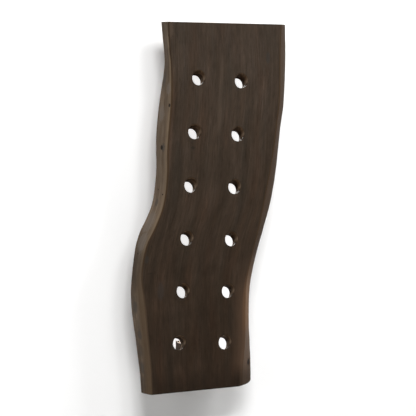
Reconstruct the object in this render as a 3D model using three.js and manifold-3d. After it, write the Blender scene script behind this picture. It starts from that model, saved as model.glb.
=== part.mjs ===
// A wall rack for wine bottles, in millimetres. A live-edge board stands off the wall on a hanging
// batten and a spacer. Bottle necks go into its slanting bores and slope down towards the wall.
// X runs right along the wall, Y into the wall and Z up. The origin is the middle of the wall
// cleat's back face, which lies on the wall above the middle of the top row of bores.

import * as THREE from 'three';
import { mergeVertices, toCreasedNormals } from 'three/addons/utils/BufferGeometryUtils.js';
import Module from 'manifold-3d';

const wasm = await Module();
wasm.setup();

// Board
const boardThickness = 31;
const topMargin = 134.7;         // top cut to the middle of the top row
const bottomMargin = 121;        // middle of the bottom row to the bottom cut
const cornerRadius = 9;          // lower right corner
const edgeRoundness = 1.6;       // 1 is a flat bevel, more is a fuller natural edge

// Bores for the bottle necks
const rowCount = 6;
const rowPitch = 130;
const topColumnGap = 112;        // between the two bores of the top row
const bottomColumnGap = 122;     // between the two bores of the bottom row
const boreDiameter = 33;
const gridLean = THREE.MathUtils.degToRad(3.5);    // the rows lean with the board, clockwise
const neckDrop = THREE.MathUtils.degToRad(24);     // fall of a neck towards the wall

// Gap behind the board, which the ends of the necks need
const standOff = 60;

// Hanging batten and the two halves of the cleat
const battenWidth = 200;
const battenHeight = 60;
const battenTopMargin = 20;      // top cut of the board to the top of the batten
const cleatHeight = 50;
const cleatThickness = 18;
const cleatBackGap = 1;          // batten to wall cleat, and rack cleat to wall
const cleatBevel = THREE.MathUtils.degToRad(45);
const bevelGap = 0.3;            // between the two bevels

// Spacer and its pads
const spacerWidth = 74;
const spacerHeight = 50;
const spacerDrop = 12.5;         // middle of the bottom row to the top of the spacer
const padDiameter = 18;
const padThickness = 2;
const padInset = 12;             // end of the spacer to the middle of a pad

// Wood screws
const screwLength = 50;
const shankDiameter = 4.5;
const screwHeadDiameter = 9;
const headRim = 0.6;
const tipLength = 7;
const screwBite = 20;            // how far a screw enters the board
const recessSpan = 5;
const recessWidth = 1.2;
const recessDepth = 2;
const screwGap = 0.3;            // screw to wood, all round
const headSink = 1;              // head below the face of the rack cleat
const battenScrewEndInset = 15;  // end of the batten to the middle of a screw
const battenScrewEdgeInset = 10;
const cleatScrewEndInset = 30;
const spacerScrewEdgeInset = 13;

// Holes for the screws that go into the wall
const wallHoleDiameter = 6.5;
const wallHoleMouth = 13;
const wallHoleEndInset = 30;

// Depths
const boardBack = -standOff;
const boardFront = boardBack - boardThickness;
const battenBack = -(cleatThickness + cleatBackGap);
const spacerBack = -padThickness;
const sinkScrewHead = boardBack - screwBite + screwLength;

// Heights
const bevelRise = cleatThickness * Math.tan(cleatBevel);
const cleatBackHeight = cleatHeight - bevelRise;
const bevelFoot = cleatBackHeight / 2;
const bevelLift = bevelGap / Math.cos(cleatBevel);
const rackCleatFoot = bevelFoot + bevelLift + cleatBackGap * Math.tan(cleatBevel);
const battenTop = rackCleatFoot + cleatHeight;
const battenMiddle = battenTop - battenHeight / 2;
const boardTop = battenTop + battenTopMargin;
const rowFall = rowPitch * Math.cos(gridLean);
const rowShift = -rowPitch * Math.sin(gridLean);
const topRowHeight = boardTop - topMargin;
const bottomRowHeight = topRowHeight - (rowCount - 1) * rowFall;
const bottomRowMiddle = (rowCount - 1) * rowShift;
const boardLength = boardTop - (bottomRowHeight - bottomMargin);
const spacerMiddle = bottomRowHeight - spacerDrop - spacerHeight / 2;

// The natural edges of the slab, as [distance below the top cut, front arris, back arris]. The
// arrises are measured across from the middle of the top row. The slab is longer than the board.
const leftEdge = [
  [-150, -147, -155],
  [0, -135.6, -142],
  [40, -133.2, -138.2],
  [70, -130.6, -134.4],
  [100, -127.2, -132.7],
  [175, -125.7, -143.4],
  [225, -128.3, -149.9],
  [262, -131.6, -153],
  [300, -134.3, -153.3],
  [360, -134.6, -153],
  [400, -137.6, -156.6],
  [440, -144.5, -164.1],
  [470, -154.8, -176.2],
  [500, -168.4, -192],
  [525, -182.4, -201.5],
  [555, -192.4, -207.3],
  [600, -199.2, -213.3],
  [625, -198.6, -215.5],
  [660, -193.8, -216.4],
  [700, -189.3, -213.9],
  [770, -182.4, -203.7],
  [850, -174.6, -193.7],
  [904, -172.6, -188.7],
  [1100, -168, -184],
];
const rightEdge = [
  [-150, 165, 184],
  [0, 162.6, 186.2],
  [75, 161, 188.7],
  [150, 161.8, 187.9],
  [200, 160, 185.3],
  [250, 154.6, 178.5],
  [300, 148.5, 173.9],
  [350, 140.6, 169.2],
  [400, 131.2, 162.3],
  [450, 121, 152.4],
  [500, 110.5, 138.4],
  [550, 97.9, 123.4],
  [600, 85.3, 110.2],
  [650, 76.5, 100.9],
  [700, 75.6, 98.4],
  [750, 76.5, 99.1],
  [800, 76, 102.2],
  [850, 71.5, 105.4],
  [904, 70.5, 107],
  [1100, 68, 107],
];

const stationPitch = 11;         // along the board, between the cross-sections of the solid
const cornerSteps = 6;
const depthSteps = 4;
const boreSides = 40;
const roundSides = 20;
const overshoot = 5;             // how far a cutting tool runs past the wood
const mergeTolerance = 1e-4;     // corners closer than this are one corner
const creaseAngle = THREE.MathUtils.degToRad(30);

const wood = new THREE.MeshStandardMaterial({ color: 0x463b30, roughness: 0.6, metalness: 0 });
const frameWood = new THREE.MeshStandardMaterial({ color: 0x6b5540, roughness: 0.7, metalness: 0 });
const steel = new THREE.MeshStandardMaterial({ color: 0x9a9a96, roughness: 0.35, metalness: 1 });
const felt = new THREE.MeshStandardMaterial({ color: 0x3a3936, roughness: 1, metalness: 0 });

const rack = new THREE.Group();

// Puts a finished piece in the rack, as a mesh of its own.
function addPiece(name, geometry, material) {
  const mesh = new THREE.Mesh(geometry, material);
  mesh.name = name;
  rack.add(mesh);
}

// A closed geometry as a solid that can be joined and cut.
function toSolid(geometry) {
  geometry.deleteAttribute('normal');
  geometry.deleteAttribute('uv');
  const merged = mergeVertices(geometry, mergeTolerance);
  return new wasm.Manifold(new wasm.Mesh({
    numProp: 3,
    vertProperties: new Float32Array(merged.attributes.position.array),
    triVerts: new Uint32Array(merged.index.array),
  }));
}

function toGeometry(solid) {
  const mesh = solid.getMesh();
  const geometry = new THREE.BufferGeometry();
  geometry.setAttribute('position', new THREE.BufferAttribute(mesh.vertProperties, 3));
  geometry.setIndex(new THREE.BufferAttribute(mesh.triVerts, 1));
  return toCreasedNormals(geometry, creaseAngle);
}

function cutAway(solid, tools) {
  return tools.reduce((rest, tool) => rest.subtract(tool), solid);
}

// A block by its middle across, its depths and its middle height.
function block(width, front, back, height, x, z) {
  const geometry = new THREE.BoxGeometry(width, back - front, height);
  geometry.translate(x, (front + back) / 2, z);
  return geometry;
}

// A round solid about an axis square to the wall, from [radius, depth] points.
function turned(profile, x, z) {
  const points = profile.map(([radius, depth]) => new THREE.Vector2(radius, depth));
  const geometry = new THREE.LatheGeometry(points, roundSides);
  geometry.translate(x, 0, z);
  return geometry;
}

// Middle of a bore on the board's front face. side is -1 for the left column and 1 for the right.
function boreMiddle(row, side) {
  const columnGap = THREE.MathUtils.lerp(topColumnGap, bottomColumnGap, row / (rowCount - 1));
  return {
    x: row * rowShift + side * columnGap / 2 * Math.cos(gridLean),
    z: topRowHeight - row * rowFall - side * columnGap / 2 * Math.sin(gridLean),
  };
}

// The tool for one bore: a rod along the neck, longer than the board is thick.
function boreTool({ x, z }) {
  const throughLength = boardThickness / Math.cos(neckDrop);
  const rod = new THREE.CylinderGeometry(boreDiameter / 2, boreDiameter / 2,
    throughLength + 2 * boreDiameter, boreSides);
  rod.rotateX(-neckDrop);
  rod.translate(x, boardFront + boardThickness / 2, z - boardThickness / 2 * Math.tan(neckDrop));
  return toSolid(rod);
}

// Heights of the board's cross-sections, below the top cut, with more of them round the corner.
function stations() {
  const straight = boardLength - cornerRadius;
  const count = Math.ceil(straight / stationPitch);
  const list = [];
  for (let i = 0; i < count; i += 1) {
    list.push(straight * i / count);
  }
  for (let i = 0; i <= cornerSteps; i += 1) {
    list.push(straight + cornerRadius * Math.sin(Math.PI / 2 * i / cornerSteps));
  }
  return list;
}

// Smooth front and back arris along one natural edge.
function naturalEdge(points) {
  const along = points.map((point) => point[0]);
  const arrises = points.flatMap((point) => [point[1], point[2]]);
  const curve = new THREE.CubicInterpolant(along, arrises, 2);
  return (down, depth) => {
    const [front, back] = curve.evaluate(down);
    const reach = 1 - (1 - depth) ** edgeRoundness;
    return THREE.MathUtils.lerp(front, back, reach);
  };
}

// How far the rounded lower right corner draws the edge in.
function cornerInset(down) {
  const past = Math.max(0, down - (boardLength - cornerRadius));
  return cornerRadius - Math.sqrt(Math.max(0, cornerRadius ** 2 - past ** 2));
}

// The slab between its two cuts: a box, whose sides take the shape of the natural edges.
function slab() {
  const downs = stations();
  const lengthSteps = downs.length - 1;
  const leftAt = naturalEdge(leftEdge);
  const rightAt = naturalEdge(rightEdge);
  const geometry = new THREE.BoxGeometry(1, boardThickness, boardLength, 1, depthSteps, lengthSteps);
  geometry.translate(0, (boardFront + boardBack) / 2, boardTop - boardLength / 2);
  const position = geometry.attributes.position;
  for (let i = 0; i < position.count; i += 1) {
    const down = downs[Math.round((boardTop - position.getZ(i)) / boardLength * lengthSteps)];
    const depthStep = Math.round((position.getY(i) - boardFront) / boardThickness * depthSteps);
    const depth = depthStep / depthSteps;
    const onLeft = position.getX(i) < 0;
    const x = onLeft ? leftAt(down, depth) : rightAt(down, depth) - cornerInset(down);
    position.setX(i, x);
    position.setZ(i, boardTop - down);
  }
  return geometry;
}

// One wood screw, or the hole for it when gap is above 0. mouth is where the hole's mouth ends.
function screwProfile(head, gap, mouth) {
  const shank = shankDiameter / 2 + gap;
  const rim = screwHeadDiameter / 2 + gap;
  const coneFoot = head - headRim - (rim - shank);
  const tip = head - screwLength - gap;
  return [
    [0, tip],
    [shank, tip + tipLength],
    [shank, coneFoot - gap],
    [rim, head - headRim - gap],
    [rim, mouth],
    [0, mouth],
  ];
}

function screwHole(head, x, z) {
  return toSolid(turned(screwProfile(head, screwGap, overshoot), x, z));
}

function screw(head, x, z) {
  const body = toSolid(turned(screwProfile(head, 0, head), x, z));
  const recess = [
    block(recessSpan, head - recessDepth, head + overshoot, recessWidth, x, z),
    block(recessWidth, head - recessDepth, head + overshoot, recessSpan, x, z),
  ];
  return toGeometry(cutAway(body, recess.map(toSolid)));
}

// Where each set of screws goes: depth of the heads, and the places across and up.
function battenScrews() {
  const reach = battenWidth / 2 - battenScrewEndInset;
  const rise = battenHeight / 2 - battenScrewEdgeInset;
  return [[-1, 1], [1, 1], [-1, -1], [1, -1]].map(([across, up]) => (
    { head: sinkScrewHead, x: across * reach, z: battenMiddle + up * rise }
  ));
}

function cleatScrews() {
  const reach = battenWidth / 2 - cleatScrewEndInset;
  const middle = battenTop - (cleatHeight - bevelRise) / 2;
  return [-1, 0, 1].map((across) => (
    { head: -cleatBackGap - headSink, x: across * reach, z: middle }
  ));
}

function spacerScrews() {
  const rise = spacerHeight / 2 - spacerScrewEdgeInset;
  return [1, -1].map((up) => (
    { head: sinkScrewHead, x: bottomRowMiddle, z: spacerMiddle + up * rise }
  ));
}

function screwHoles(places) {
  return places.map(({ head, x, z }) => screwHole(head, x, z));
}

// The board, with its bores and the pilot holes for what is screwed to its back.
function board() {
  const tools = [];
  for (let row = 0; row < rowCount; row += 1) {
    tools.push(boreTool(boreMiddle(row, -1)), boreTool(boreMiddle(row, 1)));
  }
  tools.push(...screwHoles([...battenScrews(), ...spacerScrews()]));
  return toGeometry(cutAway(toSolid(slab()), tools));
}

function batten() {
  const solid = toSolid(block(battenWidth, boardBack, battenBack, battenHeight, 0, battenMiddle));
  return toGeometry(cutAway(solid, screwHoles([...battenScrews(), ...cleatScrews()])));
}

// A strip along the wall whose cross-section is given as [depth, height] points.
function strip(width, section) {
  const shape = new THREE.Shape(section.map(([depth, height]) => new THREE.Vector2(depth, height)));
  const geometry = new THREE.ExtrudeGeometry(shape, { depth: width, bevelEnabled: false });
  geometry.applyMatrix4(new THREE.Matrix4().makeBasis(
    new THREE.Vector3(0, 1, 0), new THREE.Vector3(0, 0, 1), new THREE.Vector3(1, 0, 0)));
  geometry.translate(-width / 2, 0, 0);
  return geometry;
}

function rackCleat() {
  const back = -cleatBackGap;
  const solid = toSolid(strip(battenWidth, [
    [battenBack, battenTop],
    [battenBack, rackCleatFoot + bevelRise],
    [back, rackCleatFoot],
    [back, battenTop],
  ]));
  return toGeometry(cutAway(solid, screwHoles(cleatScrews())));
}

function wallScrewHole(x) {
  const hole = wallHoleDiameter / 2;
  const mouth = wallHoleMouth / 2;
  const sink = mouth - hole;
  return toSolid(turned([
    [0, -cleatThickness - overshoot],
    [mouth, -cleatThickness - overshoot],
    [mouth, -cleatThickness],
    [hole, -cleatThickness + sink],
    [hole, overshoot],
    [0, overshoot],
  ], x, 0));
}

function wallCleat() {
  const solid = toSolid(strip(battenWidth, [
    [-cleatThickness, bevelFoot + bevelRise],
    [-cleatThickness, -bevelFoot],
    [0, -bevelFoot],
    [0, bevelFoot],
  ]));
  const reach = battenWidth / 2 - wallHoleEndInset;
  return toGeometry(cutAway(solid, [wallScrewHole(-reach), wallScrewHole(reach)]));
}

function spacer() {
  const solid = toSolid(block(spacerWidth, boardBack, spacerBack, spacerHeight,
    bottomRowMiddle, spacerMiddle));
  return toGeometry(cutAway(solid, screwHoles(spacerScrews())));
}

function feltPad(side) {
  const radius = padDiameter / 2;
  const reach = spacerWidth / 2 - padInset;
  return turned([[0, spacerBack], [radius, spacerBack], [radius, 0], [0, 0]],
    bottomRowMiddle + side * reach, spacerMiddle);
}

addPiece('live_edge_board', board(), wood);
addPiece('hanging_batten', batten(), frameWood);
addPiece('rack_cleat', rackCleat(), frameWood);
addPiece('wall_cleat', wallCleat(), frameWood);
addPiece('lower_spacer', spacer(), frameWood);
battenScrews().forEach(({ head, x, z }, i) => {
  addPiece(`batten_screw_${i + 1}`, screw(head, x, z), steel);
});
cleatScrews().forEach(({ head, x, z }, i) => {
  addPiece(`cleat_screw_${i + 1}`, screw(head, x, z), steel);
});
spacerScrews().forEach(({ head, x, z }, i) => {
  addPiece(`spacer_screw_${i + 1}`, screw(head, x, z), steel);
});
addPiece('felt_pad_left', feltPad(-1), felt);
addPiece('felt_pad_right', feltPad(1), felt);

export default rack;
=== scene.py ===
from math import cos, pi, radians, sin, sqrt, tan

import bmesh
import bpy
import numpy as np
from mathutils import Matrix, Vector, noise


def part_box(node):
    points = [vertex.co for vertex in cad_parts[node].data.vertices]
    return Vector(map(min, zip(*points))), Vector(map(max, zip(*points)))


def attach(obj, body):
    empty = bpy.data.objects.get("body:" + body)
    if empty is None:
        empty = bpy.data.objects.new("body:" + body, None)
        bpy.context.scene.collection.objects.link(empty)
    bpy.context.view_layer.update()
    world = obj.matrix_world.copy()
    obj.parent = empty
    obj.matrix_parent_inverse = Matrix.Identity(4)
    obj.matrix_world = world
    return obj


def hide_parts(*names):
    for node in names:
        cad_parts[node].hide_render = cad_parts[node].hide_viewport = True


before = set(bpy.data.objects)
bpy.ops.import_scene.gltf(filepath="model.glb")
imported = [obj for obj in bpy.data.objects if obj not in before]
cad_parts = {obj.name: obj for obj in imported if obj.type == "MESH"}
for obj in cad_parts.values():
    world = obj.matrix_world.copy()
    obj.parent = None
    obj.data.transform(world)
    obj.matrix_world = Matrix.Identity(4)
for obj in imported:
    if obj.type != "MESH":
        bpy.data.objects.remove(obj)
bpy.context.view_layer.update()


# Camera. It stands 2.9 m in front of the rack, to its left and a little above its middle, and
# looks slightly down with a long lens.
picture_pixels = 416
focal_pixels = 1200
sensor_width = 36
camera_place = Vector((-1.13464, -2.78831, -0.01275))
aim_point = Vector((-0.02839, -0.091, -0.36108))
camera_roll = radians(0.6)

forward = (aim_point - camera_place).normalized()
level_right = forward.cross(Vector((0, 0, 1))).normalized()
level_up = level_right.cross(forward)
camera_right = level_right * cos(camera_roll) + level_up * sin(camera_roll)
camera_up = level_up * cos(camera_roll) - level_right * sin(camera_roll)
lens = bpy.data.cameras.new("camera")
lens.sensor_width = sensor_width
lens.lens = sensor_width * focal_pixels / picture_pixels
lens.clip_start = 0.1
lens.clip_end = 50
camera = bpy.data.objects.new("camera", lens)
camera.matrix_world = Matrix.Translation(camera_place) @ Matrix(
    (camera_right, camera_up, -forward)).transposed().to_4x4()
bpy.context.collection.objects.link(camera)
bpy.context.scene.camera = camera
bpy.context.scene.view_settings.view_transform = "Standard"


# Room. A plain white wall above a pale floor. Soft lights high in front and lower at both sides
# give the wall its overlapping shadows, and a small one brightens the spacer's top. The wall shows
# from the room only, and lets the narrow light behind it through to the back of the rack.
mm = 0.001
wall_half_size = 4.0
wall_gap = 0.4 * mm
floor_height = -2.2
wall_paint = (0.93, 0.93, 0.93, 1)
floor_paint = (0.82, 0.81, 0.79, 1)
sky_light = 0.02
sky_backdrop = 0.86
under_spacer = Vector((-0.070, -0.030, -1))
upright = Matrix.Rotation(radians(90), 4, "X")


def node(tree, kind, inputs=None, **settings):
    """Adds a shader node. Each input takes a plain value or the socket that feeds it."""
    made = tree.nodes.new(kind)
    for name, value in settings.items():
        setattr(made, name, value)
    for name, value in (inputs or {}).items():
        if isinstance(value, bpy.types.NodeSocket):
            tree.links.new(value, made.inputs[name])
        else:
            made.inputs[name].default_value = value
    return made


def new_material(name, **constants):
    """A material with its Principled shader, whose constants are set on its own sockets."""
    material = bpy.data.materials.new(name)
    material.use_nodes = True
    tree = material.node_tree
    shader = tree.nodes["Principled BSDF"]
    for socket, value in constants.items():
        shader.inputs[socket.replace("_", " ")].default_value = value
    return material, tree, shader


def new_piece(name, shape, *materials):
    """Makes an object of a bmesh, at the origin, with its materials."""
    mesh = bpy.data.meshes.new(name)
    shape.to_mesh(mesh)
    shape.free()
    piece = bpy.data.objects.new(name, mesh)
    for material in materials:
        mesh.materials.append(material)
    bpy.context.collection.objects.link(piece)
    return piece


def show_one_side(tree, shader):
    """The surface is clear from behind, and casts no shadow."""
    behind = node(tree, "ShaderNodeNewGeometry").outputs["Backfacing"]
    shadow = node(tree, "ShaderNodeLightPath").outputs["Is Shadow Ray"]
    either = node(tree, "ShaderNodeMath", {0: behind, 1: shadow}, operation="MAXIMUM")
    clear = node(tree, "ShaderNodeBsdfTransparent")
    mix = node(tree, "ShaderNodeMixShader", {
        0: either.outputs[0], 1: shader.outputs[0], 2: clear.outputs[0]})
    tree.links.new(mix.outputs[0], tree.nodes["Material Output"].inputs["Surface"])


def room_plane(name, place, turn, paint, one_sided):
    """A large painted plane of the room."""
    shape = bmesh.new()
    bmesh.ops.create_grid(shape, x_segments=1, y_segments=1, size=wall_half_size,
                          matrix=Matrix.Translation(place) @ turn)
    material, tree, shader = new_material(name, Roughness=0.9, Base_Color=paint)
    if one_sided:
        show_one_side(tree, shader)
    new_piece(name, shape, material)


room_plane("room_wall", (0, wall_gap, floor_height + wall_half_size), upright, wall_paint, True)
room_plane("room_floor", (0, 0, floor_height), Matrix.Identity(4), floor_paint, False)


def soft_light(name, place, size, power, spread=180, target=aim_point):
    """A square light that faces its target. size is its side in metres, power is in watts, and
    spread is how wide it shines, in degrees."""
    light = bpy.data.lights.new(name, "AREA")
    light.size = size
    light.energy = power
    light.spread = radians(spread)
    lamp = bpy.data.objects.new(name, light)
    lamp.location = place
    lamp.rotation_euler = (target - Vector(place)).to_track_quat("-Z", "Y").to_euler()
    lamp.visible_camera = False
    bpy.context.collection.objects.link(lamp)


soft_light("high_front_left", (-1.5, -3.2, 3.1), 1.0, 101)
soft_light("high_front_middle", (-0.4, -3.2, 3.1), 1.0, 90)
soft_light("high_front_right", (0.8, -3.2, 3.1), 1.0, 34)
soft_light("near_front_right", (0.6, -1.6, 1.4), 0.5, 10)
soft_light("side_left", (-1.7, -1.0, -0.4), 0.6, 7)
soft_light("side_right", (1.6, -1.0, 0.8), 0.6, 28)
soft_light("straight_behind", (0.1, 3.2, 0.9), 0.8, 4, 24)
soft_light("above_spacer", (-0.070, -0.030, -0.615), 0.03, 0.009, 45, under_spacer)

sky = bpy.data.worlds.new("sky")
sky.use_nodes = True
bpy.context.scene.world = sky
background = sky.node_tree.nodes["Background"]
rays = node(sky.node_tree, "ShaderNodeLightPath")
strength = node(sky.node_tree, "ShaderNodeMix", {
    0: rays.outputs["Is Camera Ray"], 2: sky_light, 3: sky_backdrop}, data_type="FLOAT")
background.inputs["Color"].default_value = (1, 1, 1, 1)
sky.node_tree.links.new(strength.outputs[0], background.inputs["Strength"])


# Wall cleat. It is the lower half of a bevelled hanging strip, sawn at 45 degrees from planed
# hardwood and oiled. Two countersunk screws would hold it to the wall.
arris_ease = 0.8 * mm
hole_sides = 32
wall_hole_radius = 3.25 * mm
wall_mouth_radius = 6.5 * mm
wall_hole_inset = 30 * mm
overshoot = 5 * mm
meeting_points = 0.01 * mm
block_pith = (0.035, 0.06, 0)
block_wander = 10 * mm
end_skin = 0.7 * mm
worn_reach = 1.6 * mm
grain_relief = 0.2 * mm


def shader_group(name, inputs, outputs):
    """An empty shader group with its sockets, and its two end nodes."""
    tree = bpy.data.node_groups.new(name, "ShaderNodeTree")
    kinds = {"value": "NodeSocketFloat", "vector": "NodeSocketVector"}
    for socket, (kind, value) in inputs.items():
        made = tree.interface.new_socket(socket, in_out="INPUT", socket_type=kinds[kind])
        made.default_value = value
    for socket, kind in outputs.items():
        tree.interface.new_socket(socket, in_out="OUTPUT", socket_type=kinds[kind])
    return tree, tree.nodes.new("NodeGroupInput").outputs, tree.nodes.new("NodeGroupOutput").inputs


def maths(tree, operation, first, second=0.0, clamp=False):
    """One sum on two values, or on one."""
    made = node(tree, "ShaderNodeMath", {0: first, 1: second}, operation=operation, use_clamp=clamp)
    return made.outputs[0]


def vector_maths(tree, operation, first, second=(0, 0, 0)):
    """One sum on two vectors, or on one. A length comes back as a value."""
    made = node(tree, "ShaderNodeVectorMath", {0: first, 1: second}, operation=operation)
    return made.outputs[1 if operation == "LENGTH" else 0]


def place_on(tree):
    """The place on the piece, in the rack's own frame."""
    return node(tree, "ShaderNodeTexCoord").outputs["Object"]


def parts_of(tree, vector):
    """The X, Y and Z of a vector."""
    return node(tree, "ShaderNodeSeparateXYZ", {0: vector}).outputs


def both(tree, first, second):
    """The product of two shares."""
    return maths(tree, "MULTIPLY", first, second)


def ramp(tree, value, low, high, to_low=0.0, to_high=1.0):
    """A value's range mapped smoothly to another."""
    made = node(tree, "ShaderNodeMapRange", {
        "Value": value, "From Min": low, "From Max": high, "To Min": to_low, "To Max": to_high},
        interpolation_type="SMOOTHSTEP")
    return made.outputs[0]


def speckle(tree, vector, stretch, detail=2.0, roughness=0.5):
    """Noise on a stretched vector, as a value round 0.5."""
    stretched = vector_maths(tree, "MULTIPLY", vector, stretch)
    made = node(tree, "ShaderNodeTexNoise", {
        "Vector": stretched, "Scale": 1.0, "Detail": detail, "Roughness": roughness})
    return made.outputs["Fac"]


def mix_colour(tree, share, first, second, blend="MIX"):
    """The first colour taken part of the way to the second."""
    made = node(tree, "ShaderNodeMix", {0: share, 6: first, 7: second}, data_type="RGBA",
                blend_type=blend)
    return made.outputs[2]


def bumpy(tree, shader, height, strength, distance):
    """Raises and sinks the finish by a height."""
    bump = node(tree, "ShaderNodeBump", {
        "Height": height, "Strength": strength, "Distance": distance})
    tree.links.new(bump.outputs[0], shader.inputs["Normal"])


# Wood figure: growth rings round a pith, broad streaks, fine fibres and pores. The fibres run
# along Z of the vector that goes in.
figure, given, gives = shader_group("wood_figure", {
    "Vector": ("vector", (0, 0, 0)),
    "Pith": ("vector", (0, 0, 0)),
    "Ring Spacing": ("value", 0.004),
    "Wander": ("value", 0.012),
}, {"Rings": "value", "Streaks": "value", "Fibres": "value", "Pores": "value"})
drift = node(figure, "ShaderNodeTexNoise", {
    "Vector": vector_maths(figure, "MULTIPLY", given["Vector"], (7.0, 7.0, 1.6)), "Scale": 1.0,
    "Detail": 2.0})
drift = vector_maths(figure, "SUBTRACT", drift.outputs["Color"], (0.5, 0.5, 0.5))
drift = node(figure, "ShaderNodeVectorMath", {0: drift, "Scale": given["Wander"]},
             operation="SCALE").outputs[0]
from_pith = vector_maths(figure, "SUBTRACT",
                         vector_maths(figure, "ADD", given["Vector"], drift), given["Pith"])
ring_radius = vector_maths(figure, "LENGTH", vector_maths(
    figure, "MULTIPLY", from_pith, (1, 1, 0)))
ring_count = maths(figure, "DIVIDE", ring_radius, given["Ring Spacing"])
ring_place = node(figure, "ShaderNodeCombineXYZ", {
    "X": ring_count, "Y": parts_of(figure, given["Vector"])["Z"]}).outputs[0]
ring_share = maths(figure, "FRACT", ring_count)
late_wood = both(figure, ramp(figure, ring_share, 0.35, 0.92), ramp(figure, ring_share, 1.0, 0.94))
uneven = ramp(figure, speckle(figure, ring_place, (0.9, 1.2, 1.0)), 0.3, 0.7, 0.25, 1.0)
figure.links.new(both(figure, late_wood, uneven), gives["Rings"])
streaks = speckle(figure, ring_place, (0.55, 1.5, 1.0), 4.0, 0.6)
figure.links.new(ramp(figure, streaks, 0.28, 0.72), gives["Streaks"])
fibres = speckle(figure, given["Vector"], (900.0, 900.0, 16.0), 3.0, 0.6)
figure.links.new(ramp(figure, fibres, 0.3, 0.7), gives["Fibres"])
pores = speckle(figure, given["Vector"], (1500.0, 1500.0, 70.0), 1.0)
figure.links.new(ramp(figure, pores, 0.62, 0.74), gives["Pores"])

# Worn arris: a mask along the edges of a block, from its half sizes.
wear, given, gives = shader_group("worn_arris", {
    "Vector": ("vector", (0, 0, 0)),
    "Half Size": ("vector", (0.1, 0.01, 0.01)),
    "Width": ("value", 0.002),
}, {"Mask": "value"})
inside = parts_of(wear, vector_maths(wear, "SUBTRACT", given["Half Size"], vector_maths(
    wear, "ABSOLUTE", given["Vector"])))
nearer = maths(wear, "MINIMUM", inside["X"], inside["Y"])
further = maths(wear, "MAXIMUM", inside["X"], inside["Y"])
middle_one = maths(wear, "MAXIMUM", nearer, maths(wear, "MINIMUM", further, inside["Z"]))
ragged = speckle(wear, given["Vector"], (220.0, 220.0, 220.0), 3.0)
reach = both(wear, given["Width"], ramp(wear, ragged, 0.35, 0.7, 0.3, 1.4))
mask = maths(wear, "SUBTRACT", 1.0, maths(wear, "DIVIDE", middle_one, reach), clamp=True)
wear.links.new(mask, gives["Mask"])


def wood_grain(tree, fibre_way, pith, spacing, wander):
    """The rings, streaks, fibres and pores of a piece of wood."""
    return node(tree, "ShaderNodeGroup", {
        "Vector": fibre_way, "Pith": pith, "Ring Spacing": spacing, "Wander": wander},
        node_tree=figure).outputs


def shade(colour, factor):
    """A paler or darker colour."""
    return [min(1, factor * part) for part in colour[:3]] + [1]


def block_wood(name, box, turn, dark, light, spacing, dullness):
    """Planed or sawn wood for a block: turn brings its fibres along Z. Its ends are darker."""
    material, tree, shader = new_material(name, Specular_IOR_Level=0.35)
    centre = (box[0] + box[1]) / 2
    half = (box[1] - box[0]) / 2
    centred = vector_maths(tree, "SUBTRACT", place_on(tree), centre)
    along = node(tree, "ShaderNodeMapping", {"Vector": centred, "Rotation": turn}).outputs[0]
    grain = wood_grain(tree, along, block_pith, spacing, block_wander)
    tone = mix_colour(tree, grain["Streaks"], dark, light)
    tone = mix_colour(tree, both(tree, grain["Rings"], 0.45), tone, dark)
    tone = mix_colour(tree, both(tree, grain["Fibres"], 0.22), tone, shade(dark, 0.6))
    tone = mix_colour(tree, both(tree, grain["Pores"], 0.5), tone, shade(dark, 0.3))
    off_middle = parts_of(tree, centred)["X"]
    to_end = maths(tree, "SUBTRACT", half.x, maths(tree, "ABSOLUTE", off_middle))
    sawn_end = mix_colour(tree, 1.0, tone, (0.5, 0.47, 0.45, 1), "MULTIPLY")
    tone = mix_colour(tree, ramp(tree, to_end, end_skin, end_skin - 0.4 * mm), tone, sawn_end)
    rubbed = node(tree, "ShaderNodeGroup", {
        "Vector": centred, "Half Size": half, "Width": worn_reach}, node_tree=wear).outputs[0]
    tone = mix_colour(tree, both(tree, rubbed, 0.5), tone, shade(light, 1.35))
    tree.links.new(tone, shader.inputs["Base Color"])
    dull = ramp(tree, grain["Fibres"], 0.0, 1.0, dullness, dullness + 0.18)
    tree.links.new(dull, shader.inputs["Roughness"])
    relief = maths(tree, "SUBTRACT", grain["Fibres"], grain["Pores"])
    bumpy(tree, shader, relief, 0.35, grain_relief)
    return material


def turned(shape, profile, x, z, sides):
    """Adds a closed round solid about an axis square to the wall, from [radius, depth] points."""
    points = [shape.verts.new((x + radius, depth, z)) for radius, depth in profile]
    edges = [shape.edges.new(pair) for pair in zip(points, points[1:])]
    bmesh.ops.spin(shape, geom=points + edges, cent=(x, 0, z), axis=(0, 1, 0), dvec=(0, 0, 0),
                   angle=2 * pi, steps=sides, use_merge=True, use_normal_flip=False,
                   use_duplicate=False)
    bmesh.ops.remove_doubles(shape, verts=shape.verts, dist=1e-7)
    bmesh.ops.recalc_face_normals(shape, faces=shape.faces)


def eased_block(box, cut=None):
    """A block with its arrises taken off. cut is a plane's point and outward direction."""
    shape = bmesh.new()
    bmesh.ops.create_cube(shape, size=1)
    bmesh.ops.scale(shape, vec=box[1] - box[0], verts=shape.verts)
    bmesh.ops.translate(shape, vec=(box[0] + box[1]) / 2, verts=shape.verts)
    if cut:
        sawn = bmesh.ops.bisect_plane(
            shape, geom=shape.verts[:] + shape.edges[:] + shape.faces[:], dist=meeting_points,
            plane_co=cut[0], plane_no=cut[1], clear_outer=True)
        open_edges = [part for part in sawn["geom_cut"] if isinstance(part, bmesh.types.BMEdge)]
        bmesh.ops.edgeloop_fill(shape, edges=open_edges)
    bmesh.ops.bevel(shape, geom=shape.edges[:], affect="EDGES", offset=arris_ease, segments=3,
                    profile=0.5, material=-1)
    bmesh.ops.recalc_face_normals(shape, faces=shape.faces)
    return shape


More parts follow.
